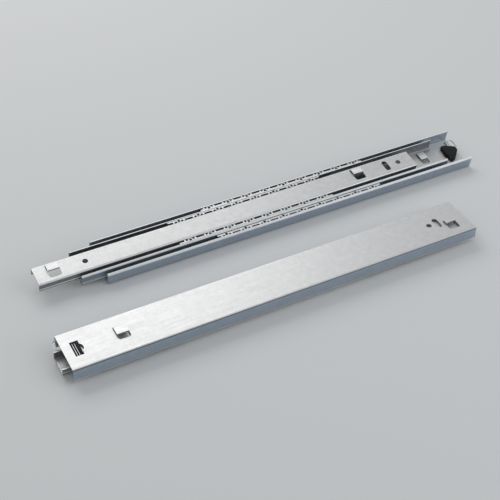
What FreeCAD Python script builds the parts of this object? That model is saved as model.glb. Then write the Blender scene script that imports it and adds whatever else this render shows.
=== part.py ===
"""A pair of full-extension ball-bearing server rails.

Each rail has three roll-formed steel members (outer, middle, inner) that slide on four caged rows of balls.
One rail lies on its back hooks with its open side up, a little drawn out. The other lies closed on its face,
turned end for end, with the back of its outer member up.

Rail frame: X runs from the front end (0) to the rear end of the outer member, Y across the rail from its
centre line, Z from the back of the outer member towards the open side. Millimetres.
"""
import FreeCAD, Part
import Sketcher
import math
import os

Vector = FreeCAD.Vector
doc = FreeCAD.newDocument("server_rail_pair")

# two points nearer than this are one
SAME_POINT = 1e-6

# ---- driving dimensions -------------------------------------------------------------------------------
SIZES = {
    # the rail as a whole
    "outer_length": 400.0,
    "outer_width": 45.0,
    "outer_height": 12.8,
    "outer_sheet": 1.2,
    "outer_bend": 2.0,
    "middle_rear_gap": 6.0,
    "middle_floor": 2.4,
    "middle_height": 14.0,
    "middle_sheet": 1.2,
    "middle_bend": 1.7,
    "inner_rear_overhang": 5.5,
    "inner_height": 14.6,
    "inner_sheet": 1.2,
    "inner_bend": 1.7,
    "inner_flange_end": 7.0,
    # balls and races
    "ball_diameter": 4.76,
    "ball_play": 0.3,
    "race_depth": 0.3,
    "inner_race_depth": 0.75,
    "outer_row_height": 5.9,
    "inner_row_height": 9.9,
    "ball_pitch": 20.2,
    "outer_row_balls": 9,
    "inner_row_balls": 8,
    # cages
    "cage_sheet": 0.6,
    "outer_cage_end": 8.9,
    "inner_cage_end": 11.1,
    "cage_side_gap": 0.4,
    "cage_rim": 0.9,
    "cage_window_play": 0.25,
    "cage_slot_length": 6.7,
    "cage_slot_edge": 0.4,
    "outer_cage_top": 12.4,
    "inner_cage_top": 13.8,
    # closed places: the members' front ends from the outer's, and the cages from the middle of its length
    "middle_closed": -2.0,
    "inner_closed": 7.0,
    "outer_cage_shift": 10.5,
    "inner_cage_shift": -0.8,
    # how far the rail that lies on its back is drawn out
    "middle_drawn": 20.0,
    "inner_drawn": 46.4,
    # lanced bayonet hooks
    "hook_width": 11.4,
    "hook_rise": 2.2,
    "hook_ramp": 2.4,
    "hook_anchor": 0.3,
    "hook_side_slit": 0.3,
    "hook_tip_radius": 2.2,
    "outer_front_hook": 11.8,
    "outer_front_hook_root": 0.0,
    "outer_front_hook_reach": 6.0,
    "outer_front_hook_opening": 13.6,
    "outer_rear_hook_inset": 46.0,
    "outer_rear_hook_root": 9.0,
    "outer_rear_hook_reach": 11.0,
    "outer_rear_hook_opening": 15.8,
    "inner_hook_inset": 11.8,
    "inner_rear_hook_inset": 57.5,
    "inner_hook_far_margin": 2.03,
    "inner_hook_near_margin": 4.63,
    "inner_hook_reach": 8.6,
    # screw holes and slots
    "screw_hole": 5.2,
    "outer_hole_place": 38.4,
    "outer_slot_place": 29.5,
    "inner_front_hole_inset": 46.8,
    "inner_rear_hole_inset": 16.3,
    "inner_slot_inset": 30.5,
    "slot_width": 5.6,
    "slot_length": 13.2,
    # rear detent
    "cutout_inset": 7.8,
    "cutout_length": 10.0,
    "cutout_width": 17.0,
    "cutout_shoulder": 2.6,
    "cutout_bow": 0.62,
    "block_inset": 14.6,
    "block_setback": 0.2,
    "block_height": 4.0,
    "block_width": 21.0,
    "block_straight": 4.4,
    "block_tip_width": 5.0,
    "block_foot": 1.9,
    "fit_gap": 0.3,
    "wire_diameter": 1.0,
    "wire_bend": 1.6,
    "wire_hairpin": 1.0,
    "wire_clearance": 0.5,
    "wire_rest_gap": 0.1,
    "spring_overhang": 4.2,
    "spring_loop_far": 17.4,
    "spring_loop_near": 6.5,
    # middle member's stop hook and notch
    "stop_inset": 10.8,
    "stop_width": 8.6,
    "stop_far_margin": 4.74,
    "stop_reach": 11.0,
    "stop_opening": 16.4,
    "notch_length": 9.4,
    "notch_width": 25.0,
    # where the two rails lie
    "rail_spacing": 98.5,
    "rail_stagger": 69.0,
}

sheet = doc.addObject("Spreadsheet::Sheet", "Sizes")
for row, (alias, value) in enumerate(SIZES.items(), start=1):
    sheet.set(f"A{row}", alias)
    sheet.set(f"B{row}", str(value))
    sheet.setAlias(f"B{row}", alias)
doc.recompute()

# ---- places that follow from the sizes ----------------------------------------------------------------
PLACES = {
    "middle_length": "Sizes.outer_length - Sizes.middle_closed - Sizes.middle_rear_gap",
    "inner_length": "Sizes.outer_length - Sizes.inner_closed + Sizes.inner_rear_overhang",
    "outer_rear_hook": "Sizes.outer_length - Sizes.outer_rear_hook_inset - Sizes.hook_width",
    "outer_cage_length": "(Sizes.outer_row_balls - 1) * Sizes.ball_pitch + 2 * Sizes.outer_cage_end",
    "inner_cage_length": "(Sizes.inner_row_balls - 1) * Sizes.ball_pitch + 2 * Sizes.inner_cage_end",
    "outer_cage_closed": "(Sizes.outer_length - outer_cage_length) / 2 + Sizes.outer_cage_shift",
    "inner_cage_closed": "(Sizes.outer_length - inner_cage_length) / 2 + Sizes.inner_cage_shift",
    "race_radius": "Sizes.ball_diameter / 2 + Sizes.ball_play",
    "race_chord": "sqrt(2 * race_radius * Sizes.race_depth - Sizes.race_depth ^ 2)",
    "outer_half": "Sizes.outer_width / 2",
    "outer_row": "outer_half - Sizes.outer_sheet + Sizes.race_depth - race_radius",
    "middle_half": "outer_row - race_radius + Sizes.race_depth",
    "inner_row": "middle_half - Sizes.middle_sheet + Sizes.race_depth - race_radius",
    "inner_half": "inner_row - race_radius + Sizes.inner_race_depth",
    "inner_chord": "sqrt(2 * race_radius * Sizes.inner_race_depth - Sizes.inner_race_depth ^ 2)",
    "inner_back_radius": "race_radius + Sizes.inner_sheet",
    "inner_back_chord": "sqrt(2 * inner_back_radius * Sizes.inner_race_depth - Sizes.inner_race_depth ^ 2)",
    "inner_hook_root": "inner_half - Sizes.inner_hook_far_margin",
    "inner_hook_opening": "inner_hook_root + inner_half - Sizes.inner_hook_near_margin",
    "stop_root": "middle_half - Sizes.stop_far_margin",
    "cutout_start": "Sizes.outer_length - Sizes.cutout_inset - Sizes.cutout_length",
    "cutout_stop": "Sizes.outer_length - Sizes.cutout_inset",
    "block_start": "Sizes.outer_length - Sizes.block_inset",
    "block_stop": "Sizes.outer_length - Sizes.block_setback",
    "groove_start": "block_start + Sizes.block_foot",
    "near_leg": "groove_start + Sizes.wire_diameter / 2 + Sizes.fit_gap",
    "far_leg": "near_leg + 2 * Sizes.wire_hairpin",
    "groove_stop": "far_leg + Sizes.wire_diameter / 2 + Sizes.fit_gap",
    "spring_height": "Sizes.outer_sheet + Sizes.wire_diameter / 2 + Sizes.wire_rest_gap",
    "outer_leg_low": "middle_half + Sizes.cage_side_gap",
    "outer_leg_high": "outer_half - Sizes.outer_bend - Sizes.cage_side_gap",
    "inner_leg_low": "inner_half + Sizes.cage_side_gap",
    "inner_leg_high": "middle_half - Sizes.middle_bend - Sizes.cage_side_gap",
}

places = doc.addObject("Spreadsheet::Sheet", "Places")
for row, (alias, formula) in enumerate(PLACES.items(), start=1):
    places.set(f"A{row}", alias)
    places.set(f"B{row}", "=" + formula)
    places.setAlias(f"B{row}", alias)
doc.recompute()


def size(alias):
    return float(sheet.get(alias))


def place(alias):
    return float(places.get(alias))


def at(expression):
    """Value of an expression that names cells of the two sheets."""
    value = places.evalExpression(expression)
    return float(getattr(value, "Value", value))


# ---- sketch and feature helpers -----------------------------------------------------------------------
def plane(body, role):
    return next(feature for feature in body.Origin.OriginFeatures if feature.Role == role)


def line():
    return None


def bend(radius, turn=1):
    """Arc to the next corner: turn is 1 counter-clockwise and -1 clockwise."""
    return (radius, turn)


def arc_between(start, end, radius, turn):
    chord = end - start
    half = chord.Length / 2
    rise = math.sqrt(max(radius * radius - half * half, 0.0))
    left = Vector(-chord.y, chord.x, 0).normalize()
    centre = start + chord * 0.5 + left * (turn * rise)
    first, last = (start, end) if turn > 0 else (end, start)
    angle_a = math.atan2(first.y - centre.y, first.x - centre.x)
    angle_b = math.atan2(last.y - centre.y, last.x - centre.x)
    if angle_b < angle_a:
        angle_b += 2 * math.pi
    circle = Part.Circle(centre, Vector(0, 0, 1), radius)
    return Part.ArcOfCircle(circle, angle_a, angle_b)


def closed_outline(sketch, corners):
    """Draw a closed outline. Each corner is (x, y, run to the next corner) with x and y as expressions."""
    points = [Vector(at(x), at(y), 0) for x, y, _ in corners]
    count = len(corners)
    ends = []
    for index, (_, _, run) in enumerate(corners):
        start, end = points[index], points[(index + 1) % count]
        if run is None:
            geometry = sketch.addGeometry(Part.LineSegment(start, end), False)
            ends.append((geometry, 1, 2))
        else:
            radius, turn = run
            geometry = sketch.addGeometry(arc_between(start, end, at(radius), turn), False)
            ends.append((geometry, 1, 2) if turn > 0 else (geometry, 2, 1))
    for index, (x, y, run) in enumerate(corners):
        geometry, first, _ = ends[index]
        before, _, last = ends[index - 1]
        sketch.addConstraint(Sketcher.Constraint("Coincident", before, last, geometry, first))
        for kind, expression, value in (("DistanceX", x, points[index].x), ("DistanceY", y, points[index].y)):
            if expression == "0":
                axis = -2 if kind == "DistanceX" else -1
                sketch.addConstraint(Sketcher.Constraint("PointOnObject", geometry, first, axis))
                continue
            number = sketch.addConstraint(Sketcher.Constraint(kind, -1, 1, geometry, first, value))
            sketch.setExpression(f"Constraints[{number}]", expression)
        if run is not None:
            number = sketch.addConstraint(Sketcher.Constraint("Radius", geometry, at(run[0])))
            sketch.setExpression(f"Constraints[{number}]", run[0])


def new_sketch(body, role, name, corners, offset=None):
    sketch = body.newObject("Sketcher::SketchObject", f"{body.Name}_{name}")
    sketch.AttachmentSupport = [(plane(body, role), "")]
    sketch.MapMode = "FlatFace"
    if offset:
        sketch.setExpression("AttachmentOffset.Base.z", offset)
    doc.recompute()
    closed_outline(sketch, corners)
    return sketch


def pad(body, sketch, length, reverse=False):
    feature = body.newObject("PartDesign::Pad", f"{sketch.Name}_pad")
    feature.Profile = sketch
    feature.Reversed = reverse
    feature.setExpression("Length", length)
    body.Tip = feature
    doc.recompute()
    return feature


def pocket(body, sketch, depth, reverse=False):
    before = body.Shape.Volume
    feature = body.newObject("PartDesign::Pocket", f"{sketch.Name}_pocket")
    feature.Profile = sketch
    feature.Reversed = reverse
    feature.setExpression("Length", depth)
    body.Tip = feature
    doc.recompute()
    if body.Shape.Volume >= before:
        raise RuntimeError(f"{feature.Name} cuts nothing")
    return feature


def repeat(body, feature, length, count):
    """Repeat a feature along the rail."""
    pattern = body.newObject("PartDesign::LinearPattern", f"{feature.Name}_row")
    pattern.Originals = [feature]
    pattern.Direction = (plane(body, "X_Axis"), [""])
    pattern.setExpression("Length", length)
    pattern.setExpression("Occurrences", count)
    body.Tip = pattern
    doc.recompute()
    return pattern


def rectangle(x_low, x_high, y_low, y_high):
    corners = ((x_low, y_low), (x_high, y_low), (x_high, y_high), (x_low, y_high))
    return [(x, y, line()) for x, y in corners]


def disc(x, y, diameter):
    """A round hole, drawn as four quarter arcs."""
    half = f"({diameter}) / 2"
    return [
        (f"({x}) - {half}", y, bend(half)),
        (x, f"({y}) - {half}", bend(half)),
        (f"({x}) + {half}", y, bend(half)),
        (x, f"({y}) + {half}", bend(half)),
    ]


def long_slot(x, width, length):
    """A round-ended slot across the rail, centred on the centre line."""
    half = f"({width}) / 2"
    tip = f"({length}) / 2"
    shoulder = f"({tip} - {half})"
    return [
        (f"({x}) - {half}", f"-{shoulder}", bend(half)),
        (x, f"-{tip}", bend(half)),
        (f"({x}) + {half}", f"-{shoulder}", line()),
        (f"({x}) + {half}", shoulder, bend(half)),
        (x, tip, bend(half)),
        (f"({x}) - {half}", shoulder, line()),
    ]


def both_sides(half):
    """Close a right-hand half outline with its mirror image across the rail's centre plane."""
    corners = [(y, z, run) for y, z, run in half]
    runs = [run for _, _, run in half]
    mirrored = []
    for index in range(len(half) - 1, -1, -1):
        y, z, _ = half[index]
        run = runs[index - 1] if index > 0 else line()
        mirrored.append((f"-({y})", z, run))
    return corners + mirrored


def new_body(label):
    body = doc.addObject("PartDesign::Body", label)
    body.Label = label
    return body


# ---- the three roll-formed members --------------------------------------------------------------------
def outer_profile():
    half, wall = "Places.outer_half", "(Places.outer_half - Sizes.outer_sheet)"
    flat = "(Places.outer_half - Sizes.outer_bend)"
    top, radius, inside = "Sizes.outer_height", "Sizes.outer_bend", "Sizes.outer_bend - Sizes.outer_sheet"
    row, chord = "Sizes.outer_row_height", "Places.race_chord"
    return both_sides([
        (flat, "0", bend(radius)),
        (half, radius, line()),
        (half, f"{top} - {radius}", bend(radius)),
        (flat, top, line()),
        (flat, f"{top} - Sizes.outer_sheet", bend(inside, -1)),
        (wall, f"{top} - {radius}", line()),
        (wall, f"{row} + {chord}", bend("Places.race_radius", -1)),
        (wall, f"{row} - {chord}", line()),
        (wall, radius, bend(inside, -1)),
        (flat, "Sizes.outer_sheet", line()),
    ])


def middle_profile():
    half, wall = "Places.middle_half", "(Places.middle_half - Sizes.middle_sheet)"
    flat = "(Places.middle_half - Sizes.middle_bend)"
    low, top = "Sizes.middle_floor", "Sizes.middle_height"
    radius, inside = "Sizes.middle_bend", "Sizes.middle_bend - Sizes.middle_sheet"
    chord, race = "Places.race_chord", "Places.race_radius"
    return both_sides([
        (flat, low, bend(radius)),
        (half, f"{low} + {radius}", line()),
        (half, f"Sizes.outer_row_height - {chord}", bend(race, -1)),
        (half, f"Sizes.outer_row_height + {chord}", line()),
        (half, f"{top} - {radius}", bend(radius)),
        (flat, top, line()),
        (flat, f"{top} - Sizes.middle_sheet", bend(inside, -1)),
        (wall, f"{top} - {radius}", line()),
        (wall, f"Sizes.inner_row_height + {chord}", bend(race, -1)),
        (wall, f"Sizes.inner_row_height - {chord}", line()),
        (wall, f"{low} + {radius}", bend(inside, -1)),
        (flat, f"{low} + Sizes.middle_sheet", line()),
    ])


def inner_profile():
    half, wall = "Places.inner_half", "(Places.inner_half - Sizes.inner_sheet)"
    flat = "(Places.inner_half - Sizes.inner_bend)"
    top, row = "Sizes.inner_height", "Sizes.inner_row_height"
    radius, inside = "Sizes.inner_bend", "Sizes.inner_bend - Sizes.inner_sheet"
    return both_sides([
        (flat, f"{top} - Sizes.inner_sheet", bend(inside, -1)),
        (wall, f"{top} - {radius}", line()),
        (wall, f"{row} + Places.inner_back_chord", bend("Places.inner_back_radius")),
        (wall, f"{row} - Places.inner_back_chord", line()),
        (wall, "Sizes.inner_flange_end", line()),
        (half, "Sizes.inner_flange_end", line()),
        (half, f"{row} - Places.inner_chord", bend("Places.race_radius", -1)),
        (half, f"{row} + Places.inner_chord", line()),
        (half, f"{top} - {radius}", bend(radius)),
        (flat, top, line()),
    ])


def lance_hook(body, name, start, width, root, reach, opening, face, sheet_thickness, outward):
    """Lance a bayonet hook: cut the opening through the web, then add the raised tongue at its far edge.

    start is the hook's low end along the rail, width its width, root the far edge of the opening, reach the
    tongue's length towards the near side, opening the opening's length, face the height of the web's face on
    the hook's side, and outward is 1 for a hook that rises along +Z and -1 for one that sinks below.
    """
    stop = f"({start} + {width})"
    near = f"({root} - {opening})"
    tip = "Sizes.hook_tip_radius"
    outline = [
        (start, root, line()),
        (start, f"{near} + {tip}", bend(tip)),
        (f"{start} + {tip}", near, line()),
        (f"{stop} - {tip}", near, bend(tip)),
        (stop, f"{near} + {tip}", line()),
        (stop, root, line()),
    ]
    cut = new_sketch(body, "XY_Plane", f"{name}_opening", outline, face)
    pocket(body, cut, sheet_thickness, reverse=outward < 0)
    rise = f"{outward} * Sizes.hook_rise"
    back = f"{face} - {outward} * {sheet_thickness}"
    ramp = f"({root} - Sizes.hook_ramp)"
    free = f"({root} - {reach})"
    section = [
        (f"{root} + Sizes.hook_anchor", face, line()),
        (f"{root}", face, line()),
        (f"{ramp}", f"{face} + {rise}", line()),
        (free, f"{face} + {rise}", line()),
        (free, f"{back} + {rise}", line()),
        (ramp, f"{back} + {rise}", line()),
        (f"{root}", f"{back}", line()),
        (f"{root} + Sizes.hook_anchor", f"{back}", line()),
    ]
    tongue = new_sketch(body, "YZ_Plane", f"{name}_tongue", section, f"{start} + Sizes.hook_side_slit")
    pad(body, tongue, f"{width} - 2 * Sizes.hook_side_slit")


def outer_member(label):
    body = new_body(label)
    pad(body, new_sketch(body, "YZ_Plane", "profile", outer_profile()), "Sizes.outer_length")
    back = "Sizes.outer_sheet"
    hole = disc("Sizes.outer_hole_place", "0", "Sizes.screw_hole")
    pocket(body, new_sketch(body, "XY_Plane", "hole", hole), back, reverse=True)
    slot = long_slot("Sizes.outer_slot_place", "Sizes.slot_width", "Sizes.slot_length")
    pocket(body, new_sketch(body, "XY_Plane", "slot", slot), back, reverse=True)
    side = "Sizes.cutout_width / 2"
    straight = "Places.cutout_stop"
    shoulder = "(Places.cutout_start + Sizes.cutout_shoulder)"
    cutout = [
        (straight, f"-{side}", line()),
        (straight, side, line()),
        (shoulder, side, line()),
        (shoulder, f"{side} / 2", bend(f"{side} * Sizes.cutout_bow")),
        (shoulder, f"-{side} / 2", line()),
        (shoulder, f"-{side}", line()),
    ]
    pocket(body, new_sketch(body, "XY_Plane", "cutout", cutout), back, reverse=True)
    for name, start in (("front_hook", "Sizes.outer_front_hook"), ("rear_hook", "Places.outer_rear_hook")):
        key = f"Sizes.outer_{name}"
        lance_hook(body, name, start, "Sizes.hook_width", f"{key}_root", f"{key}_reach", f"{key}_opening",
                   "0", back, -1)
    return body


def middle_member(label):
    body = new_body(label)
    pad(body, new_sketch(body, "YZ_Plane", "profile", middle_profile()), "Places.middle_length")
    face = "(Sizes.middle_floor + Sizes.middle_sheet)"
    through = "Sizes.middle_sheet"
    side = "Sizes.notch_width / 2"
    notch = rectangle("Places.middle_length - Sizes.notch_length", "Places.middle_length", f"-{side}", side)
    pocket(body, new_sketch(body, "XY_Plane", "notch", notch, face), through)
    stop = "(Places.middle_length - Sizes.stop_inset - Sizes.stop_width)"
    lance_hook(body, "stop", stop, "Sizes.stop_width", "Places.stop_root", "Sizes.stop_reach",
               "Sizes.stop_opening", face, through, 1)
    return body


def inner_member(label):
    body = new_body(label)
    pad(body, new_sketch(body, "YZ_Plane", "profile", inner_profile()), "Places.inner_length")
    face, through = "Sizes.inner_height", "Sizes.inner_sheet"
    for name, where in (("front_hole", "Sizes.inner_front_hole_inset"),
                        ("rear_hole", "(Places.inner_length - Sizes.inner_rear_hole_inset)")):
        pocket(body, new_sketch(body, "XY_Plane", name, disc(where, "0", "Sizes.screw_hole"), face), through)
    slot_place = "(Places.inner_length - Sizes.inner_slot_inset)"
    slot = long_slot(slot_place, "Sizes.slot_width", "Sizes.slot_length")
    pocket(body, new_sketch(body, "XY_Plane", "slot", slot, face), through)
    rear = "(Places.inner_length - Sizes.inner_rear_hook_inset - Sizes.hook_width)"
    for name, where in (("front_hook", "Sizes.inner_hook_inset"), ("rear_hook", rear)):
        lance_hook(body, name, where, "Sizes.hook_width", "Places.inner_hook_root", "Sizes.inner_hook_reach",
                   "Places.inner_hook_opening", face, through, 1)
    return body


# ---- ball cages and balls -----------------------------------------------------------------------------
def cage(label, row, side):
    """A pressed strip with a window for each ball in its upright leg and slots in its top leg.

    row is "outer" or "inner", and side is 1 for the far row and -1 for the near row.
    """
    body = new_body(label)
    count, end = f"Sizes.{row}_row_balls", f"Sizes.{row}_cage_end"
    centre, height, top = f"Places.{row}_row", f"Sizes.{row}_row_height", f"Sizes.{row}_cage_top"
    window = "(Sizes.ball_diameter / 2 + Sizes.cage_window_play)"
    inside, outside = f"Places.{row}_leg_low", f"Places.{row}_leg_high"
    half = "Sizes.cage_sheet / 2"
    low = f"{height} - {window} - Sizes.cage_rim"
    under = f"{top} - Sizes.cage_sheet"
    section = [
        (f"{side} * ({centre} - {half})", low, line()),
        (f"{side} * ({centre} + {half})", low, line()),
        (f"{side} * ({centre} + {half})", under, line()),
        (f"{side} * {outside}", under, line()),
        (f"{side} * {outside}", top, line()),
        (f"{side} * {inside}", top, line()),
        (f"{side} * {inside}", under, line()),
        (f"{side} * ({centre} - {half})", under, line()),
    ]
    pad(body, new_sketch(body, "YZ_Plane", "section", section), f"Places.{row}_cage_length")
    opening = rectangle(f"{end} - {window}", f"{end} + {window}",
                        f"{height} - {window}", f"{height} + {window}")
    windows = new_sketch(body, "XZ_Plane", "window", opening, f"-{side} * {centre} - Sizes.cage_sheet")
    first = pocket(body, windows, "2 * Sizes.cage_sheet", reverse=True)
    repeat(body, first, f"({count} - 1) * Sizes.ball_pitch", count)
    slot_half, edge = "Sizes.cage_slot_length / 2", "Sizes.cage_slot_edge"
    slot = rectangle(f"{end} - {slot_half}", f"{end} + {slot_half}",
                     f"{side} * ({inside} + {edge})", f"{side} * ({outside} - {edge})")
    slots = pocket(body, new_sketch(body, "XY_Plane", "slot", slot, top), "Sizes.cage_sheet")
    repeat(body, slots, f"({count} - 1) * Sizes.ball_pitch", f"2 * {count} - 1")
    return body


def ball():
    """A faceted ball whose corners lie on the real ball's surface: two crossed eight-sided drums."""
    corner = size("ball_diameter") / 2
    across = corner * math.cos(math.pi / 8)
    ring = [Vector(corner * math.cos(a), corner * math.sin(a), -across)
            for a in (math.pi / 8 + step * math.pi / 4 for step in range(9))]
    along, up = (Part.Face(Part.makePolygon(ring)).extrude(Vector(0, 0, 2 * across)) for _ in range(2))
    along.rotate(Vector(), Vector(0, 1, 0), 90)
    up.rotate(Vector(), Vector(1, 0, 0), 90)
    return along.common(up)


def ball_row(label, row, side):
    feature = doc.addObject("Part::Feature", label)
    feature.Label = label
    first = Vector(size(f"{row}_cage_end"), side * place(f"{row}_row"), size(f"{row}_row_height"))
    step = Vector(size("ball_pitch"), 0, 0)
    model = ball()
    balls = []
    for index in range(int(size(f"{row}_row_balls"))):
        one = model.copy()
        one.translate(first + step * index)
        balls.append(one)
    feature.Shape = Part.makeCompound(balls)
    return feature


# ---- rear detent --------------------------------------------------------------------------------------
def detent_block(label):
    body = new_body(label)
    start, stop = "Places.block_start", "Places.block_stop"
    side, tip = "Sizes.block_width / 2", "Sizes.block_tip_width"
    taper = f"({start} + Sizes.block_straight)"
    outline = [
        (start, f"-{side}", line()),
        (taper, f"-{side}", line()),
        (stop, "0", line()),
        (stop, tip, line()),
        (taper, side, line()),
        (start, side, line()),
    ]
    pad(body, new_sketch(body, "XY_Plane", "outline", outline, "Sizes.outer_sheet"), "Sizes.block_height")
    foot_side = "(Sizes.cutout_width / 2 - Sizes.fit_gap)"
    foot = rectangle(start, "Places.groove_start", f"-{foot_side}", foot_side)
    pad(body, new_sketch(body, "XY_Plane", "foot", foot), "Sizes.outer_sheet")
    groove = rectangle("Places.groove_start", "Places.groove_stop", f"-{side}", side)
    pocket(body, new_sketch(body, "XY_Plane", "groove", groove, "Sizes.outer_sheet"),
           "Sizes.wire_diameter + 2 * Sizes.wire_rest_gap", reverse=True)
    return body


def bent_path(points, radii):
    """A wire through the points, its inner corners cut off where a bend of the radius would start."""
    corners = [points[0]]
    for index, radius in enumerate(radii, start=1):
        corner = points[index]
        towards = (points[index - 1] - corner).normalize()
        away = (points[index + 1] - corner).normalize()
        cut = radius / math.tan(towards.getAngle(away) / 2)
        for point in (corner + towards * cut, corner + away * cut):
            if (point - corners[-1]).Length > SAME_POINT:
                corners.append(point)
    corners.append(points[-1])
    return Part.makePolygon(corners)


def detent_spring(label):
    """Bent wire: a hairpin through the block's groove, a run beside it and a loop past the rear end."""
    feature = doc.addObject("Part::Feature", label)
    feature.Label = label
    radius, hairpin, corner = size("wire_diameter") / 2, size("wire_hairpin"), size("wire_bend")
    clearance, level = size("wire_clearance"), place("spring_height")
    near_leg, far_leg = place("near_leg"), place("far_leg")
    side = size("block_width") / 2
    run = side + radius + clearance
    rear = size("outer_length")
    loop_in = size("middle_closed") + place("middle_length") + radius + 2 * clearance
    loop_out = rear + size("spring_overhang")
    loop_far, loop_near = size("spring_loop_far"), size("spring_loop_near")
    points = [Vector(x, y, level) for x, y in (
        (near_leg, side - radius), (near_leg, -side), (far_leg, -side), (far_leg, run), (loop_in, run),
        (loop_in, loop_far), (loop_out, loop_far), (loop_out, loop_near), (loop_out - 2 * corner, loop_near))]
    path = bent_path(points, [hairpin, hairpin] + [corner] * 5)
    six_sides = [math.radians(turn) for turn in (0, 60, 120, 180, 240, 300, 0)]
    ring = [points[0] + Vector(radius * math.cos(angle), 0, radius * math.sin(angle)) for angle in six_sides]
    square_corners = 1
    feature.Shape = path.makePipeShell([Part.makePolygon(ring)], True, False, square_corners)
    return feature


# ---- one rail -----------------------------------------------------------------------------------------
def rail(side_name, middle_out, inner_out):
    """Build one rail's pieces. Each is (object, its place along the rail from the outer's front end)."""
    middle_place = size("middle_closed") - middle_out
    inner_place = size("inner_closed") - middle_out - inner_out
    cage_places = {
        "outer": place("outer_cage_closed") - middle_out / 2,
        "inner": place("inner_cage_closed") - middle_out - inner_out / 2,
    }
    pieces = [
        (outer_member(f"{side_name}_outer_member"), 0.0),
        (middle_member(f"{side_name}_middle_member"), middle_place),
        (inner_member(f"{side_name}_inner_member"), inner_place),
        (detent_block(f"{side_name}_detent_block"), 0.0),
        (detent_spring(f"{side_name}_detent_spring"), 0.0),
    ]
    for row in ("outer", "inner"):
        for side, word in ((-1, "near"), (1, "far")):
            pieces.append((cage(f"{side_name}_{row}_{word}_cage", row, side), cage_places[row]))
            pieces.append((ball_row(f"{side_name}_{row}_{word}_balls", row, side), cage_places[row]))
    return pieces


def lay(pieces, turn, base):
    """Place a rail's pieces: turn is the rail's rotation and base where its front end's centre goes."""
    frame = FreeCAD.Placement(base, turn)
    for piece, along in pieces:
        piece.Placement = frame.multiply(FreeCAD.Placement(Vector(along, 0, 0), FreeCAD.Rotation()))
    doc.recompute()
    box = FreeCAD.BoundBox()
    for piece, _ in pieces:
        box.add(piece.Shape.optimalBoundingBox(False, False))
    return box


def check(pieces):
    for item in doc.Objects:
        if "Invalid" in item.State or "Error" in item.State:
            raise RuntimeError(f"{item.Name} did not compute: {item.State}")
    for piece, _ in pieces:
        if piece.Shape.isNull() or not piece.Shape.isValid() or not piece.Shape.Solids:
            raise RuntimeError(f"{piece.Label} has no valid solid")


left = rail("left", size("middle_drawn"), size("inner_drawn"))
right = rail("right", 0.0, 0.0)

# The left rail leans from its near lower edge onto its front hook; the right one stands on its inner's hooks.
hook_tip = size("outer_front_hook_reach") - size("outer_front_hook_root")
lean = math.degrees(math.atan(size("hook_rise") / (place("outer_half") - hook_tip)))
left_turn = FreeCAD.Rotation(Vector(1, 0, 0), lean)
right_turn = FreeCAD.Rotation(Vector(0, 1, 0), 180)
left_base = Vector(size("rail_stagger"), size("rail_spacing"), 0)
right_base = Vector(size("outer_length"), 0, 0)
boxes = [lay(left, left_turn, left_base), lay(right, right_turn, right_base)]

# Both rails stand on the ground, and the pair is centred on the origin.
whole = FreeCAD.BoundBox(boxes[0])
whole.add(boxes[1])
centre = Vector(whole.Center.x, whole.Center.y, 0)
lay(left, left_turn, left_base - centre - Vector(0, 0, boxes[0].ZMin))
lay(right, right_turn, right_base - centre - Vector(0, 0, boxes[1].ZMin))

everything = left + right
check(everything)
os.makedirs("parts", exist_ok=True)
for piece, _ in everything:
    piece.Shape.exportStep(f"parts/{piece.Label}.step")
print(len(everything), "nodes written, lean", round(lean, 2), "centre", centre)
print("floors", boxes[0].ZMin, boxes[1].ZMin)
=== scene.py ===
"""Finish, balls, cages, springs and studio for a pair of telescopic server rails, laid out as an add-on."""
import math

import bpy
from mathutils import Matrix, Vector


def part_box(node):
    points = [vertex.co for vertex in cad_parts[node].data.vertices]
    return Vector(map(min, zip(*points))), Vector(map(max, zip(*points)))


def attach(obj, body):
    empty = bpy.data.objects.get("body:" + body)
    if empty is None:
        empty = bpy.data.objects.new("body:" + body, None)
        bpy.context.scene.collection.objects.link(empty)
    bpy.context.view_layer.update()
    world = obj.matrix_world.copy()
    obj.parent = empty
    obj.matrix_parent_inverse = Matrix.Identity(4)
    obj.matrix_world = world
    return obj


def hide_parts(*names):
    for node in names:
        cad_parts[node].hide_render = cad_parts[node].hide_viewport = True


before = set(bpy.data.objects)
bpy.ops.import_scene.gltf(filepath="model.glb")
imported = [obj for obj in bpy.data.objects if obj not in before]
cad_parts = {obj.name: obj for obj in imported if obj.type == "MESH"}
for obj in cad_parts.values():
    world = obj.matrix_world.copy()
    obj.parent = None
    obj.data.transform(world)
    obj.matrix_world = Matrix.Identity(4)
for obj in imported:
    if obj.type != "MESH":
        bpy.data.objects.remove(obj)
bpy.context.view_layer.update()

bl_info = {
    "name": "Server rail pair",
    "version": (1, 0, 0),
    "blender": (4, 5, 0),
    "location": "View3D > Sidebar > Rails",
    "description": "Dresses a pair of ball-bearing server rails around their packed model",
    "category": "Object",
}

MM = 0.001
SIDES = ("left", "right")
ROWS = ("outer", "inner")
# which way a row lies from its rail's middle, along Y in the rail's own frame
PLACES = {"near": -1, "far": 1}

# points closer than this are one point
MERGE_DISTANCE = 1e-6

# the cage's top leg: where its two notches each side of a ball start and stop, measured from the ball
FIRST_NOTCH = (2.2 * MM, 4.4 * MM)
SECOND_NOTCH_START = 6.0 * MM
# the notches end near the leg's middle line: this far off it, in leg widths, and this much further open
NOTCH_WAIST = 0.05
NOTCH_MARGIN = 0.1 * MM
# the gap over a ball, and the rim left on either side of that gap
HALF_BALL_GAP = 1.3 * MM
GAP_RIM = 0.35 * MM

# the cage's upright leg: a window around the ball, and how far the notches run down the leg
WINDOW_PLAY = 0.15 * MM
NOTCH_DEPTH = 1.6 * MM
PAST_THE_EDGE = 1 * MM
# three bars make a window's rounded outline: half their width and half their height, in window radii
WINDOW_BARS = ((1.0, 0.45), (0.45, 1.0), (0.8, 0.8))
# a vertex this close to the end of a cell belongs to its edge
ON_THE_EDGE = 0.01 * MM

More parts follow.
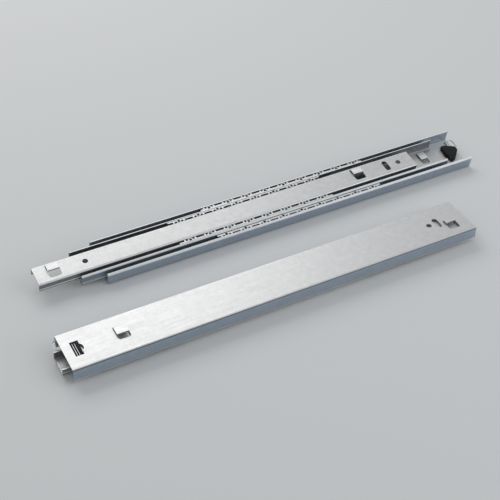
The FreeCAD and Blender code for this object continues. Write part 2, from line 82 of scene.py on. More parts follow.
# the detent spring, measured along the centre line of its wire
LEG_SPACING = 2 * MM
LOOP_LENGTH = 8.7 * MM
TAIL_Y = 6.5 * MM
BEND_RADIUS = 1.6 * MM
# room between the wire and the side of the block
BLOCK_PLAY = 0.5 * MM
WIRE_SIDES = 10
STEPS_PER_BEND = 6


# ---- settings a user would change -------------------------------------------------------------------
class RailSizes(bpy.types.PropertyGroup):
    """Sizes of the pieces inside a rail, in metres, where its painted highlights start, and the painted
    shade and highlight on its bends.
    """
    ball: bpy.props.FloatProperty(
        name="Ball", description="Diameter of a bearing ball", default=4.76 * MM, unit="LENGTH")
    pitch: bpy.props.FloatProperty(
        name="Ball pitch", description="Distance between balls in a cage", default=20.2 * MM, unit="LENGTH")
    strip: bpy.props.FloatProperty(
        name="Cage strip", description="Thickness of the cage strip", default=0.6 * MM, unit="LENGTH")
    wire: bpy.props.FloatProperty(
        name="Spring wire", description="Diameter of the detent spring's wire",
        default=1.0 * MM, unit="LENGTH")
    # the bright heights set where the painted highlight of the lips and the raised tongues starts
    outer_bright: bpy.props.FloatProperty(
        name="Outer bright", description="Height in the rail above which the outer member is burnished",
        default=8 * MM, unit="LENGTH")
    middle_bright: bpy.props.FloatProperty(
        name="Middle bright", description="Height in the rail above which the middle member is burnished",
        default=4.6 * MM, unit="LENGTH")
    inner_bright: bpy.props.FloatProperty(
        name="Inner bright", description="Height in the rail above which the inner member is burnished",
        default=15.2 * MM, unit="LENGTH")
    outer_row_height: bpy.props.FloatProperty(
        name="Outer row height", description="Height of the outer balls over the outer member's back",
        default=5.9 * MM, unit="LENGTH")
    # the bend shades paint light on the bends: painted shade below 0, as on the outer member, and a painted
    # highlight above 0, as on the inner member
    outer_bend_shade: bpy.props.FloatProperty(
        name="Outer bend shade",
        description="How much paler than its faces the outer member's bends are, or darker below 0",
        default=-0.8, min=-1.0, max=1.0, subtype="FACTOR")
    middle_bend_shade: bpy.props.FloatProperty(
        name="Middle bend shade",
        description="How much paler than its faces the middle member's bends are, or darker below 0",
        default=0.0, min=-1.0, max=1.0, subtype="FACTOR")
    inner_bend_shade: bpy.props.FloatProperty(
        name="Inner bend shade",
        description="How much paler than its faces the inner member's bends are, or darker below 0",
        default=0.6, min=-1.0, max=1.0, subtype="FACTOR")


class RailColours(bpy.types.PropertyGroup):
    """Colours of the rail's finishes, with light and shade painted into several of them, as sRGB hex values.
    """
    # the web and wall colours paint light and shade by facing: the webs are painted pale as painted light,
    # and the walls are the plating's faint blue darkened as painted shade and reflection; the middle and
    # inner walls are painted darker still, as painted shade inside the rail
    web: bpy.props.StringProperty(
        name="Sheet face", description="Colour of the flat webs", default="#eae9e7")
    # the lip colour is a painted highlight on the lips and the raised tongues
    lip: bpy.props.StringProperty(
        name="Lip", description="Colour of the turned-in lips", default="#fdfdfb")
    outer_wall: bpy.props.StringProperty(
        name="Outer wall", description="Colour of the outer member's walls", default="#afbbc7")
    middle_wall: bpy.props.StringProperty(
        name="Middle wall", description="Colour of the middle member's walls", default="#98a4b0")
    inner_wall: bpy.props.StringProperty(
        name="Inner wall", description="Colour of the inner member's walls", default="#909395")
    # the race colours are painted shade: the insides that face the balls are painted darker where shade
    # falls in the channels
    outer_race: bpy.props.StringProperty(
        name="Outer race", description="Colour inside the outer member's walls", default="#a9b4be")
    middle_race: bpy.props.StringProperty(
        name="Middle race", description="Colour inside the middle member's greased walls", default="#7d8184")
    inner_race: bpy.props.StringProperty(
        name="Inner race", description="Colour inside the inner member's walls", default="#7d8184")
    cage: bpy.props.StringProperty(
        name="Cage", description="Colour of the cage strip", default="#f6f6f4")
    ball: bpy.props.StringProperty(
        name="Ball", description="Colour of the balls", default="#d4d6da")
    block: bpy.props.StringProperty(
        name="Block", description="Colour of the plastic block", default="#0d0d0e")
    wire: bpy.props.StringProperty(
        name="Wire", description="Colour of the spring wire", default="#bfc2c6")
    floor: bpy.props.StringProperty(
        name="Floor", description="Colour of the floor", default="#e9e9e7")


def sizes():
    return bpy.context.scene.rail_sizes


def colours():
    return bpy.context.scene.rail_colours


# ---- where a rail lies --------------------------------------------------------------------------------
def middle_of(node):
    """The middle of a node's box."""
    low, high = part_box(node)
    return (low + high) / 2


def rail_place(side):
    """Matrix from a rail's own frame to the frame of the pair.

    In the rail's frame X runs from the outer member's front end to its rear end, Y from near to far, and Z
    from the outer member's back to the open side. The rows of balls give its lean and which way it faces.
    """
    near, far = middle_of(f"{side}_outer_near_balls"), middle_of(f"{side}_outer_far_balls")
    inner = (middle_of(f"{side}_inner_near_balls") + middle_of(f"{side}_inner_far_balls")) / 2
    across = (far - near).normalized()
    opening = inner - (near + far) / 2
    opening.x = 0.0
    up = (opening - across * opening.dot(across)).normalized()
    along = across.cross(up)
    low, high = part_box(f"{side}_outer_member")
    centre = (near + far) / 2 - up * sizes().outer_row_height
    centre.x = low.x if along.x > 0 else high.x
    place = Matrix((along, across, up)).transposed().to_4x4()
    place.translation = centre
    return place


def along_rail(side, node):
    """Where a node starts along its rail, and its length."""
    inverse = rail_place(side).inverted()
    ends = sorted((inverse @ corner).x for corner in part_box(node))
    return ends[0], ends[1] - ends[0]


# ---- modelling helpers --------------------------------------------------------------------------------
def choose(piece):
    """Make a piece the only selected object, and the active one."""
    bpy.ops.object.select_all(action="DESELECT")
    piece.select_set(True)
    bpy.context.view_layer.objects.active = piece


def rename(piece, name):
    """Name a piece and its mesh."""
    piece.name = name
    piece.data.name = name
    return piece


def added(operator, name, **settings):
    """Run an operator that adds one primitive, and return the named object."""
    if bpy.context.mode != "OBJECT":
        bpy.ops.object.mode_set(mode="OBJECT")
    bpy.ops.object.select_all(action="DESELECT")
    operator(**settings)
    return rename(bpy.context.active_object, name)


def pick_faces(piece, test):
    """Select the faces of a piece whose centre passes the test, in edit mode."""
    bpy.ops.mesh.select_mode(type="FACE")
    bpy.ops.mesh.select_all(action="DESELECT")
    bpy.ops.object.mode_set(mode="OBJECT")
    for face in piece.data.polygons:
        face.select = test(face.center)
    bpy.ops.object.mode_set(mode="EDIT")


def cut_square_to(direction, places):
    """Bisect the whole mesh with planes square to a direction, in edit mode."""
    for place in places:
        bpy.ops.mesh.select_all(action="SELECT")
        bpy.ops.mesh.bisect(plane_co=direction * place, plane_no=direction)


def apply_modifier(piece, kind, **settings):
    """Add a modifier to a piece, set it and apply it."""
    modifier = piece.modifiers.new(kind.title(), kind)
    for key, value in settings.items():
        setattr(modifier, key, value)
    bpy.context.view_layer.objects.active = piece
    bpy.ops.object.modifier_apply(modifier=modifier.name)


def settle(piece, matrix):
    """Put a piece's place into its mesh and leave the object at the origin."""
    piece.data.transform(matrix @ piece.matrix_world)
    piece.matrix_world = Matrix.Identity(4)
    if matrix.determinant() < 0:
        piece.data.flip_normals()
    piece.data.update()
    return piece


def copy_of(piece, name):
    """A copy of a piece with a mesh of its own."""
    choose(piece)
    bpy.ops.object.duplicate()
    return rename(bpy.context.active_object, name)


def formed_from(node, name):
    """A new piece with a node's shape, its doubles merged and its flat faces whole."""
    piece = bpy.data.objects.new(name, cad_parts[node].data.copy())
    piece.data.name = name
    bpy.context.scene.collection.objects.link(piece)
    choose(piece)
    bpy.ops.object.mode_set(mode="EDIT")
    bpy.ops.mesh.select_all(action="SELECT")
    bpy.ops.mesh.remove_doubles(threshold=MERGE_DISTANCE)
    bpy.ops.mesh.dissolve_limited(angle_limit=math.radians(0.5))
    bpy.ops.object.mode_set(mode="OBJECT")
    return piece


def joined(pieces, name):
    """One named piece made of several."""
    choose(pieces[0])
    for piece in pieces:
        piece.select_set(True)
    bpy.ops.object.join()
    return rename(bpy.context.active_object, name)


def smooth(piece, angle):
    """Shade a piece smooth, apart from edges sharper than an angle in degrees."""
    choose(piece)
    bpy.ops.object.shade_smooth_by_angle(angle=math.radians(angle))


def paint(piece, material):
    """Give a piece one material."""
    piece.data.materials.clear()
    piece.data.materials.append(material)


# ---- materials ----------------------------------------------------------------------------------------
def linear(code):
    """An sRGB hex value as linear RGBA."""
    channels = [int(code[index:index + 2], 16) / 255 for index in (1, 3, 5)]
    return [c / 12.92 if c <= 0.04045 else ((c + 0.055) / 1.055) ** 2.4 for c in channels] + [1.0]


def add_node(tree, kind, settings=None, links=None):
    """Add a shader node, set its properties and sockets, and link its inputs."""
    node = tree.nodes.new(kind)
    for key, value in (settings or {}).items():
        if isinstance(key, str) and hasattr(node, key):
            setattr(node, key, value)
        else:
            node.inputs[key].default_value = value
    for key, source in (links or {}).items():
        tree.links.new(source, node.inputs[key])
    return node


def new_material(name):
    """An empty material with nodes."""
    material = bpy.data.materials.get(name) or bpy.data.materials.new(name)
    material.use_nodes = True
    material.node_tree.nodes.clear()
    return material


def finish_material(tree, shader):
    """Send a shader to the material's output."""
    add_node(tree, "ShaderNodeOutputMaterial", links={"Surface": shader.outputs["BSDF"]})


def in_rail_frame(tree, side):
    """Three nodes in a rail's own frame: the shaded point's place, that place's parts, and its normal's."""
    turn = rail_place(side).inverted()
    place = add_node(tree, "ShaderNodeTexCoord")
    settled = add_node(tree, "ShaderNodeMapping",
                       {"Location": turn.translation, "Rotation": turn.to_euler()},
                       {"Vector": place.outputs["Object"]})
    normal = add_node(tree, "ShaderNodeNewGeometry")
    turned = add_node(tree, "ShaderNodeMapping", {"vector_type": "NORMAL", "Rotation": turn.to_euler()},
                      {"Vector": normal.outputs["Normal"]})
    where = add_node(tree, "ShaderNodeSeparateXYZ", links={"Vector": settled.outputs["Vector"]})
    facing = add_node(tree, "ShaderNodeSeparateXYZ", links={"Vector": turned.outputs["Vector"]})
    return settled, where, facing


def zinc_sheet(name, side, member):
    """Bright zinc-plated cold-rolled sheet, roll-formed.

    Plating leaves a satin, faintly blue metal, and rolling leaves fine lines along the sheet. The flat webs
    are painted paler than the walls as painted light, and the walls' blue-grey is the plating's tint
    darkened with painted shade and reflection; the lips and the raised tongues carry a painted highlight,
    and the insides that face the balls are painted darker as painted shade.
    """
    wall, race = getattr(colours(), f"{member}_wall"), getattr(colours(), f"{member}_race")
    highlight_height = getattr(sizes(), f"{member}_bright")
    bend_shade = getattr(sizes(), f"{member}_bend_shade")
    material = new_material(name)
    tree = material.node_tree
    settled, where, facing = in_rail_frame(tree, side)

    # a web faces up or down, and a lip or a tongue also stands high in the rail
    upright = add_node(tree, "ShaderNodeMath", {"operation": "ABSOLUTE"}, {0: facing.outputs["Z"]})
    web = add_node(tree, "ShaderNodeMapRange", {"From Min": 0.35, "From Max": 0.9},
                   {"Value": upright.outputs[0]})
    # painted highlight: the lips and tongues above this height take the near-white lip colour
    high = add_node(tree, "ShaderNodeMath", {"operation": "GREATER_THAN", 1: highlight_height},
                    {0: where.outputs["Z"]})
    crown = add_node(tree, "ShaderNodeMapRange", {"From Min": 0.05, "From Max": 0.4},
                     {"Value": upright.outputs[0]})
    lip = add_node(tree, "ShaderNodeMath", {"operation": "MULTIPLY"},
                   {0: high.outputs[0], 1: crown.outputs[0]})

    # a wall faces the balls inside the rail where its normal points back at the centre line
    outward = add_node(tree, "ShaderNodeMath", {"operation": "MULTIPLY"},
                       {0: where.outputs["Y"], 1: facing.outputs["Y"]})
    inside = add_node(tree, "ShaderNodeMath", {"operation": "LESS_THAN", 1: -6 * MM},
                      {0: outward.outputs[0]})

    # rolling lines 1.2 mm apart and 40 mm long: 850 and 25 of them in a metre
    stretched = add_node(tree, "ShaderNodeMapping", {"Scale": (25.0, 850.0, 850.0)},
                         {"Vector": settled.outputs["Vector"]})
    lines = add_node(tree, "ShaderNodeTexNoise", {"Scale": 1.0, "Detail": 3.0, "Roughness": 0.6},
                     {"Vector": stretched.outputs["Vector"]})
    # plating mottle 6 mm across with finer speckle in it, drawn coarser than the real grain so that it shows
    mottle = add_node(tree, "ShaderNodeTexNoise", {"Scale": 160.0, "Detail": 5.0, "Roughness": 0.85},
                      {"Vector": settled.outputs["Vector"]})

    # painted light and shade: faces that look up take the pale web colour and the walls the darker wall
    # colour
    faces = add_node(tree, "ShaderNodeMix",
                     {"data_type": "RGBA", 6: linear(wall), 7: linear(colours().web)},
                     {0: web.outputs[0]})
    # painted highlight on the lips and the raised tongues
    lip_highlighted = add_node(tree, "ShaderNodeMix", {"data_type": "RGBA", 7: linear(colours().lip)},
                      {0: lip.outputs[0], 6: faces.outputs[2]})
    # painted shade: the insides that face the balls take the darker race colour
    shade_painted = add_node(tree, "ShaderNodeMix", {"data_type": "RGBA", 7: linear(race)},
                       {0: inside.outputs[0], 6: lip_highlighted.outputs[2]})

    # painted light on the bends: the outer member's back bends are painted darker as painted shade, and the
    # inner member's bends paler as a painted highlight; a bend is neither quite web nor quite wall, so web x
    # (1 - web) finds it
    spread = add_node(tree, "ShaderNodeMapRange",
                      {"From Min": 0.3, "From Max": 0.7, "To Min": 0.9, "To Max": 1.07},
                      {"Value": mottle.outputs["Fac"]})
    not_web = add_node(tree, "ShaderNodeMath", {"operation": "SUBTRACT", 0: 1.0}, {1: web.outputs[0]})
    bend = add_node(tree, "ShaderNodeMath", {"operation": "MULTIPLY"},
                    {0: web.outputs[0], 1: not_web.outputs[0]})
    painted_bend = add_node(tree, "ShaderNodeMath", {"operation": "MULTIPLY_ADD", 1: 4.0 * bend_shade, 2: 1.0},
                         {0: bend.outputs[0]})
    painted_light = add_node(tree, "ShaderNodeMath", {"operation": "MAXIMUM"},
                    {0: painted_bend.outputs[0], 1: high.outputs[0]})
    level = add_node(tree, "ShaderNodeMath", {"operation": "MULTIPLY"},
                     {0: spread.outputs[0], 1: painted_light.outputs[0]})
    tone = add_node(tree, "ShaderNodeHueSaturation", {},
                    {"Color": shade_painted.outputs[2], "Value": level.outputs[0]})

    rough = add_node(tree, "ShaderNodeMapRange",
                     {"From Min": 0.3, "From Max": 0.7, "To Min": 0.40, "To Max": 0.52},
                     {"Value": lines.outputs["Fac"]})
    # passivated zinc has a thin clear film that scatters some light, so it is a little less than metallic,
    # and the lips and tongues are made less metallic still so that their near-white painted highlight shows
    metal = add_node(tree, "ShaderNodeMapRange", {"To Min": 0.85, "To Max": 0.35},
                     {"Value": lip.outputs[0]})
    bump = add_node(tree, "ShaderNodeBump", {"Strength": 0.12, "Distance": 0.04 * MM},
                    {"Height": lines.outputs["Fac"]})
    shader = add_node(tree, "ShaderNodeBsdfPrincipled", {},
                      {"Base Color": tone.outputs[0], "Roughness": rough.outputs[0],
                       "Normal": bump.outputs[0], "Metallic": metal.outputs[0]})
    finish_material(tree, shader)
    return material


def polished_metal(name, colour, roughness, grain, metallic=1.0):
    """Bright hard metal with faint handling marks, which vary its roughness.

    grain is the marks' size in metres, and metallic is under 1 where a tumbled finish scatters the light.
    """
    material = new_material(name)
    tree = material.node_tree
    place = add_node(tree, "ShaderNodeTexCoord")
    marks = add_node(tree, "ShaderNodeTexNoise", {"Scale": 1.0 / grain, "Detail": 3.0, "Roughness": 0.6},
                     {"Vector": place.outputs["Object"]})
    rough = add_node(tree, "ShaderNodeMapRange",
                     {"From Min": 0.3, "From Max": 0.7,
                      "To Min": roughness * 0.8, "To Max": roughness * 1.35},
                     {"Value": marks.outputs["Fac"]})
    bump = add_node(tree, "ShaderNodeBump", {"Strength": 0.08, "Distance": 0.03 * MM},
                    {"Height": marks.outputs["Fac"]})
    shader = add_node(tree, "ShaderNodeBsdfPrincipled", {"Metallic": metallic, "Base Color": linear(colour)},
                      {"Roughness": rough.outputs[0], "Normal": bump.outputs[0]})
    finish_material(tree, shader)
    return material


def black_nylon(name):
    """Glass-filled nylon, injection moulded: near black, a fine spark-eroded grain and a dull sheen.

    The grain is 0.4 mm across, coarser than the real one so that it shows, and the sheen varies over 3 mm.
    """
    material = new_material(name)
    tree = material.node_tree
    place = add_node(tree, "ShaderNodeTexCoord")
    grain = add_node(tree, "ShaderNodeTexNoise", {"Scale": 2500.0, "Detail": 2.0},
                     {"Vector": place.outputs["Object"]})
    cloud = add_node(tree, "ShaderNodeTexNoise", {"Scale": 300.0, "Detail": 3.0},
                     {"Vector": place.outputs["Object"]})
    rough = add_node(tree, "ShaderNodeMapRange",
                     {"From Min": 0.3, "From Max": 0.7, "To Min": 0.5, "To Max": 0.64},
                     {"Value": cloud.outputs["Fac"]})
    bump = add_node(tree, "ShaderNodeBump", {"Strength": 0.25, "Distance": 0.05 * MM},
                    {"Height": grain.outputs["Fac"]})
    shader = add_node(tree, "ShaderNodeBsdfPrincipled",
                      {"Metallic": 0.0, "IOR": 1.53, "Specular IOR Level": 0.35,
                       "Base Color": linear(colours().block)},
                      {"Roughness": rough.outputs[0], "Normal": bump.outputs[0]})
    finish_material(tree, shader)
    return material


def studio_paper(name):
    """Matt pale paper with fibres 1.1 mm across."""
    material = new_material(name)
    tree = material.node_tree
    place = add_node(tree, "ShaderNodeTexCoord")
    fibre = add_node(tree, "ShaderNodeTexNoise", {"Scale": 900.0, "Detail": 2.0},
                     {"Vector": place.outputs["Object"]})
    bump = add_node(tree, "ShaderNodeBump", {"Strength": 0.05, "Distance": 0.1 * MM},
                    {"Height": fibre.outputs["Fac"]})
    shader = add_node(tree, "ShaderNodeBsdfPrincipled",
                      {"Base Color": linear(colours().floor), "Roughness": 0.7},
                      {"Normal": bump.outputs[0]})
    finish_material(tree, shader)
    return material


# ---- operators ----------------------------------------------------------------------------------------
class RAILS_OT_members(bpy.types.Operator):
    """Give the roll-formed members their plated finish and smooth bends."""
    bl_idname = "rails.members"
    bl_label = "Members"

    def execute(self, context):
        for side in SIDES:
            bodies = {"outer": "outer_members", "middle": f"{side}_middle", "inner": f"{side}_inner"}
            for member, body in bodies.items():
                node = f"{side}_{member}_member"
                material = zinc_sheet(f"zinc_plated_sheet_{side}_{member}", side, member)
                sheet = formed_from(node, f"{node}_sheet")
                smooth(sheet, angle=30)
                apply_modifier(sheet, "WEIGHTED_NORMAL", mode="FACE_AREA", weight=100, keep_sharp=True)
                paint(sheet, material)
                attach(sheet, body)
                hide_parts(node)
        return {"FINISHED"}


def ball_centres(node):
    """Centres of a row's balls, one pitch apart about the middle of their node."""
    low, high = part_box(node)
    pitch = sizes().pitch
    count = round((high.x - low.x - sizes().ball) / pitch) + 1
    first = (low + high) / 2 - Vector(((count - 1) * pitch / 2, 0, 0))
    return [first + Vector((index * pitch, 0, 0)) for index in range(count)]


class RAILS_OT_balls(bpy.types.Operator):
    """Add the rows of bearing balls."""
    bl_idname = "rails.balls"
    bl_label = "Balls"

    def execute(self, context):
        material = polished_metal("ground_bearing_steel", colours().ball, roughness=0.08, grain=2 * MM)
        ball = added(bpy.ops.mesh.primitive_ico_sphere_add, "ball", subdivisions=3, radius=sizes().ball / 2)
        for side in SIDES:
            for row in ROWS:
                for word in PLACES:
                    node = f"{side}_{row}_{word}_balls"
                    spheres = [settle(copy_of(ball, f"{node}_{index}"), Matrix.Translation(centre))
                               for index, centre in enumerate(ball_centres(node))]
                    balls = joined(spheres, f"{node}_ground")
                    smooth(balls, angle=60)
                    paint(balls, material)
                    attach(balls, f"{side}_{row}_cages")
                    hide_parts(node)
        bpy.data.objects.remove(ball)
        return {"FINISHED"}


def windowed_strip(name, length, width, windows, thickness):
    """A flat strip with windows cut through it, given its thickness.

    The strip lies in XY, centred on the origin. windows are (x low, x high, y low, y high).
    """
    strip = added(bpy.ops.mesh.primitive_plane_add, name, size=1.0)
    bpy.ops.object.mode_set(mode="EDIT")
    bpy.ops.mesh.select_all(action="SELECT")
    bpy.ops.transform.resize(value=(length, width, 1.0))
    cut_square_to(Vector((1, 0, 0)), sorted({x for window in windows for x in window[:2]}))
    cut_square_to(Vector((0, 1, 0)), sorted({y for window in windows for y in window[2:]}))
    pick_faces(strip, lambda centre: any(
        low_x < centre.x < high_x and low_y < centre.y < high_y for low_x, high_x, low_y, high_y in windows))
    bpy.ops.mesh.delete(type="FACE")
    bpy.ops.object.mode_set(mode="OBJECT")
    apply_modifier(strip, "SOLIDIFY", thickness=thickness, offset=0.0)
    return strip


class RAILS_OT_cages(bpy.types.Operator):
    """Press the ball cages: an upright leg with a window for each ball, and a pierced top leg."""
    bl_idname = "rails.cages"
    bl_label = "Cages"

    def execute(self, context):
        material = polished_metal("tumbled_cage_strip", colours().cage, roughness=0.3, grain=3 * MM,
                                  metallic=0.4)
        for row in ROWS:
            model = self.one_pitch(row)
            for side in SIDES:
                for word, sign in PLACES.items():
                    node = f"{side}_{row}_{word}_cage"
                    cage = self.repeat_along(model, node, side, sign)
                    paint(cage, material)
                    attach(cage, f"{side}_{row}_cages")
                    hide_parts(node)
            bpy.data.objects.remove(model)
        return {"FINISHED"}

    def one_pitch(self, row):
        """One ball's length of cage, with the ball at the origin and the rail's middle towards -Y."""
        pitch, strip = sizes().pitch, sizes().strip
        inverse = rail_place("right").inverted()
        corners = [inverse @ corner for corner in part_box(f"right_{row}_far_cage")]
        centre = inverse @ middle_of(f"right_{row}_far_balls")
        y_low, y_high = sorted(corner.y - centre.y for corner in corners)
        z_low, z_high = sorted(corner.z - centre.z for corner in corners)

        # the notches open on the side of the member that the row's cage is nearest to
        notches = [FIRST_NOTCH, (SECOND_NOTCH_START, pitch / 2)]
        notches += [(-stop, -start) for start, stop in notches]
        gap = (-HALF_BALL_GAP, HALF_BALL_GAP)
        width = y_high - y_low
        half, waist = width / 2, NOTCH_WAIST * width
        low, high = (waist - NOTCH_MARGIN, half) if row == "outer" else (-half, waist + NOTCH_MARGIN)
        windows = [(start, stop, low, high) for start, stop in notches]
        windows.append((*gap, GAP_RIM - half, half - GAP_RIM))
        top = windowed_strip("top_leg", pitch, width, windows, strip)
        settle(top, Matrix.Translation((0, (y_low + y_high) / 2, z_high - strip / 2)))

        # the upright leg has a round-cornered window for the ball, and is open under the notches
        window = sizes().ball / 2 + WINDOW_PLAY
        leg_low, leg_high = z_low, z_high - strip
        level = (leg_low + leg_high) / 2
        openings = [(-wide * window, wide * window, -tall * window - level, tall * window - level)
                    for wide, tall in WINDOW_BARS]
        openings += [(start, stop, leg_high - NOTCH_DEPTH - level, leg_high + PAST_THE_EDGE - level)
                     for start, stop in [*notches, gap]]
        leg = windowed_strip("upright_leg", pitch, leg_high - leg_low, openings, strip)
        settle(leg, Matrix.Translation((0, 0, level)) @ Matrix.Rotation(math.pi / 2, 4, "X"))
        return joined([top, leg], f"{row}_cage_pitch")

    def repeat_along(self, model, node, side, sign):
        """Repeat one pitch at each ball of a row, with plain ends where the cage's node ends."""
        place = rail_place(side)
        inverse = place.inverted()
        start, length = along_rail(side, node)
        centres = sorted((inverse @ centre for centre in ball_centres(node.replace("_cage", "_balls"))),
                         key=lambda centre: centre.x)
        cells = [copy_of(model, f"{node}_{index}") for index in range(len(centres))]
        half = sizes().pitch / 2
        self.move_edge(cells[0], -half, start - centres[0].x)
        self.move_edge(cells[-1], half, start + length - centres[-1].x)
        for cell, centre in zip(cells, centres):
            settle(cell, Matrix.Translation((centre.x, 0, 0)))
        cage = joined(cells, f"{node}_strip")
        mirror = Matrix.Diagonal((1, sign, 1, 1))
        settle(cage, place @ Matrix.Translation((0, centres[0].y, centres[0].z)) @ mirror)
        bpy.ops.object.mode_set(mode="EDIT")
        bpy.ops.mesh.select_all(action="SELECT")
        bpy.ops.mesh.normals_make_consistent(inside=False)
        bpy.ops.object.mode_set(mode="OBJECT")
        return cage

    def move_edge(self, cell, edge, limit):
        """Move the end of a cell that lies at X = edge to X = limit."""
        for vertex in cell.data.vertices:
            if abs(vertex.co.x - edge) < ON_THE_EDGE:
                vertex.co.x = limit


class RAILS_OT_springs(bpy.types.Operator):
    """Bend the detent springs from round wire."""
    bl_idname = "rails.springs"
    bl_label = "Detent springs"

    def execute(self, context):
        material = polished_metal("bright_spring_wire", colours().wire, roughness=0.12, grain=1 * MM)
        radius = sizes().wire / 2
        # the right rail lies square, so its boxes give how wide both springs are and how high they lie
        flat = rail_place("right").inverted()
        ends = [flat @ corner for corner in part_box("right_detent_spring")]
        near, far = sorted(corner.y for corner in ends)
        near, far = near + radius, far - radius
        level = (ends[0].z + ends[1].z) / 2
        block_side = max((flat @ corner).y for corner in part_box("right_detent_block"))
        run = block_side + radius + BLOCK_PLAY
        for side in SIDES:
            node = f"{side}_detent_spring"
            start, length = along_rail(side, node)
            front, rear = start + radius, start + length - radius
            second_leg, loop_front = front + LEG_SPACING, rear - LOOP_LENGTH
            # two legs under the block, a run beside it, and an open loop behind it
            corners = [
                ((front, block_side - radius), 0),
                ((front, near), LEG_SPACING / 2),
                ((second_leg, near), LEG_SPACING / 2),
                ((second_leg, run), BEND_RADIUS),
                ((loop_front, run), BEND_RADIUS),
                ((loop_front, far), BEND_RADIUS),
                ((rear, far), BEND_RADIUS),
                ((rear, TAIL_Y), BEND_RADIUS),
                ((rear - 2 * BEND_RADIUS, TAIL_Y), 0),
            ]
            wire = bent_wire(f"{node}_wire", corners, level, radius)
            settle(wire, rail_place(side))
            smooth(wire, angle=40)
            paint(wire, material)
            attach(wire, "outer_members")
            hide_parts(node)
        return {"FINISHED"}


def bent_wire(name, corners, level, radius):
    """A round wire bent in one plane: extruded along each straight run and spun round each bend.

    corners are ((x, y), bend radius) in the plane Z = level. The bend radius of the two ends is not used.
    """
    points = [Vector((x, y, level)) for (x, y), _ in corners]
    bends = [bend for _, bend in corners]
    heading = (points[1] - points[0]).normalized()
    wire = added(bpy.ops.mesh.primitive_circle_add, name, vertices=WIRE_SIDES, radius=radius,
                 fill_type="NGON", location=points[0], rotation=heading.to_track_quat("Z", "Y").to_euler())
    bpy.ops.object.transform_apply(location=True, rotation=True)
    bpy.ops.object.mode_set(mode="EDIT")
    bpy.ops.mesh.select_all(action="SELECT")
    reached = points[0]
    for index in range(1, len(points)):
        heading = (points[index] - points[index - 1]).normalized()
        last = index == len(points) - 1
        turn = 0.0 if last else heading.xy.angle_signed((points[index + 1] - points[index]).xy)
        setback = 0.0 if last else bends[index] * math.tan(abs(turn) / 2)
        goal = points[index] - heading * setback
        if (goal - reached).length > MERGE_DISTANCE:
            bpy.ops.mesh.extrude_region_move(TRANSFORM_OT_translate={"value": goal - reached})
        if last:
            break
        # angle_signed is positive for a clockwise turn, and so is a spin about +Z
        side = Vector((-heading.y, heading.x, 0.0)) * (-1 if turn > 0 else 1)
        bpy.ops.mesh.spin(steps=STEPS_PER_BEND, angle=turn, center=goal + side * bends[index],
                          axis=(0.0, 0.0, 1.0))
        onward = (points[index + 1] - points[index]).normalized()
        reached = points[index] + onward * setback
    bpy.ops.mesh.select_all(action="SELECT")
    bpy.ops.mesh.remove_doubles(threshold=MERGE_DISTANCE)
    bpy.ops.mesh.normals_make_consistent(inside=False)
    bpy.ops.object.mode_set(mode="OBJECT")
    return wire


class RAILS_OT_blocks(bpy.types.Operator):
    """Mould the black detent blocks."""
    bl_idname = "rails.blocks"
    bl_label = "Detent blocks"

    def execute(self, context):
        material = black_nylon("moulded_black_nylon")
        for side in SIDES:
            node = f"{side}_detent_block"
            block = formed_from(node, f"{node}_moulding")
            apply_modifier(block, "BEVEL", width=0.35 * MM, segments=3, limit_method="ANGLE")
            smooth(block, angle=40)
            paint(block, material)
            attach(block, "outer_members")
            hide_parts(node)
        return {"FINISHED"}


# ---- studio -------------------------------------------------------------------------------------------
AZIMUTH, ELEVATION, ROLL = math.radians(29.07), math.radians(41.02), math.radians(1.635)
DISTANCE, LENS = 0.9588, 75.25
LOOK_AT = Vector((-0.0351, 0.0024, 0.010))


def lamp(name, location, size, watts, colour):
    """Hang a soft rectangular lamp that looks at the origin."""
    data = bpy.data.lights.new(name, "AREA")
    data.shape = "RECTANGLE"
    data.size, data.size_y = size
    data.energy = watts
    data.color = linear(colour)[:3]
    light = bpy.data.objects.new(name, data)
    bpy.context.scene.collection.objects.link(light)
    light.location = location
    light.rotation_euler = (-Vector(location)).to_track_quat("-Z", "Y").to_euler()


def place_camera(scene):
    """Put the camera where it sees the whole pair, rolled a little."""
    data = bpy.data.cameras.new("studio_camera")
    data.lens = LENS
    data.sensor_width = 36.0
    data.clip_start = 0.01
    camera = bpy.data.objects.new("studio_camera", data)
    scene.collection.objects.link(camera)
    forward = Vector((math.sin(AZIMUTH) * math.cos(ELEVATION), math.cos(AZIMUTH) * math.cos(ELEVATION),
                      -math.sin(ELEVATION)))
    level = forward.cross(Vector((0, 0, 1))).normalized()
    up = level.cross(forward)
    right = level * math.cos(ROLL) + up * math.sin(ROLL)
    turn = Matrix((right, right.cross(forward), -forward)).transposed().to_4x4()
    camera.matrix_world = Matrix.Translation(LOOK_AT - forward * DISTANCE) @ turn
    scene.camera = camera


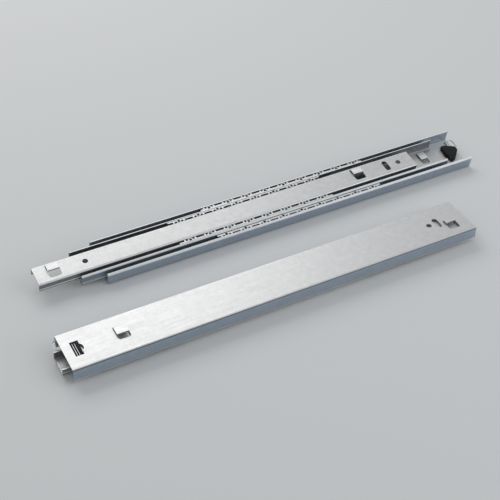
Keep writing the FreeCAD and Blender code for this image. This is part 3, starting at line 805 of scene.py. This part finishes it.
class RAILS_OT_studio(bpy.types.Operator):
    """Set the pale floor, the soft lamps and the camera."""
    bl_idname = "rails.studio"
    bl_label = "Studio"

    def execute(self, context):
        scene = context.scene
        floor = added(bpy.ops.mesh.primitive_plane_add, "studio_floor", size=12.0)
        paint(floor, studio_paper("pale_studio_paper"))

        world = bpy.data.worlds.new("studio_air")
        scene.world = world
        world.use_nodes = True
        background = world.node_tree.nodes["Background"]
        background.inputs["Color"].default_value = linear("#dfe3e8")
        background.inputs["Strength"].default_value = 0.55

        lamp("key_softbox", location=(-0.05, 1.3, 1.1), size=(1.6, 1.0), watts=8.7, colour="#ffffff")
        lamp("fill_softbox", location=(0.9, -0.9, 0.9), size=(1.0, 1.0), watts=4.0, colour="#eef2f8")
        place_camera(scene)
        scene.view_settings.view_transform = "Standard"
        return {"FINISHED"}


class RAILS_PT_panel(bpy.types.Panel):
    """The rail pair's pieces."""
    bl_label = "Server rail pair"
    bl_space_type = "VIEW_3D"
    bl_region_type = "UI"
    bl_category = "Rails"

    def draw(self, context):
        for operator in OPERATORS:
            self.layout.operator(operator.bl_idname)
        for group in (sizes(), colours()):
            for name in group.__annotations__:
                self.layout.prop(group, name)


OPERATORS = (
    RAILS_OT_members, RAILS_OT_balls, RAILS_OT_cages, RAILS_OT_springs, RAILS_OT_blocks, RAILS_OT_studio)
CLASSES = (RailSizes, RailColours, *OPERATORS, RAILS_PT_panel)


def register():
    for item in CLASSES:
        bpy.utils.register_class(item)
    bpy.types.Scene.rail_sizes = bpy.props.PointerProperty(type=RailSizes)
    bpy.types.Scene.rail_colours = bpy.props.PointerProperty(type=RailColours)


def unregister():
    del bpy.types.Scene.rail_colours
    del bpy.types.Scene.rail_sizes
    for item in reversed(CLASSES):
        bpy.utils.unregister_class(item)


def main():
    register()
    bpy.ops.rails.members()
    bpy.ops.rails.balls()
    bpy.ops.rails.cages()
    bpy.ops.rails.springs()
    bpy.ops.rails.blocks()
    bpy.ops.rails.studio()


if __name__ == "__main__":
    main()
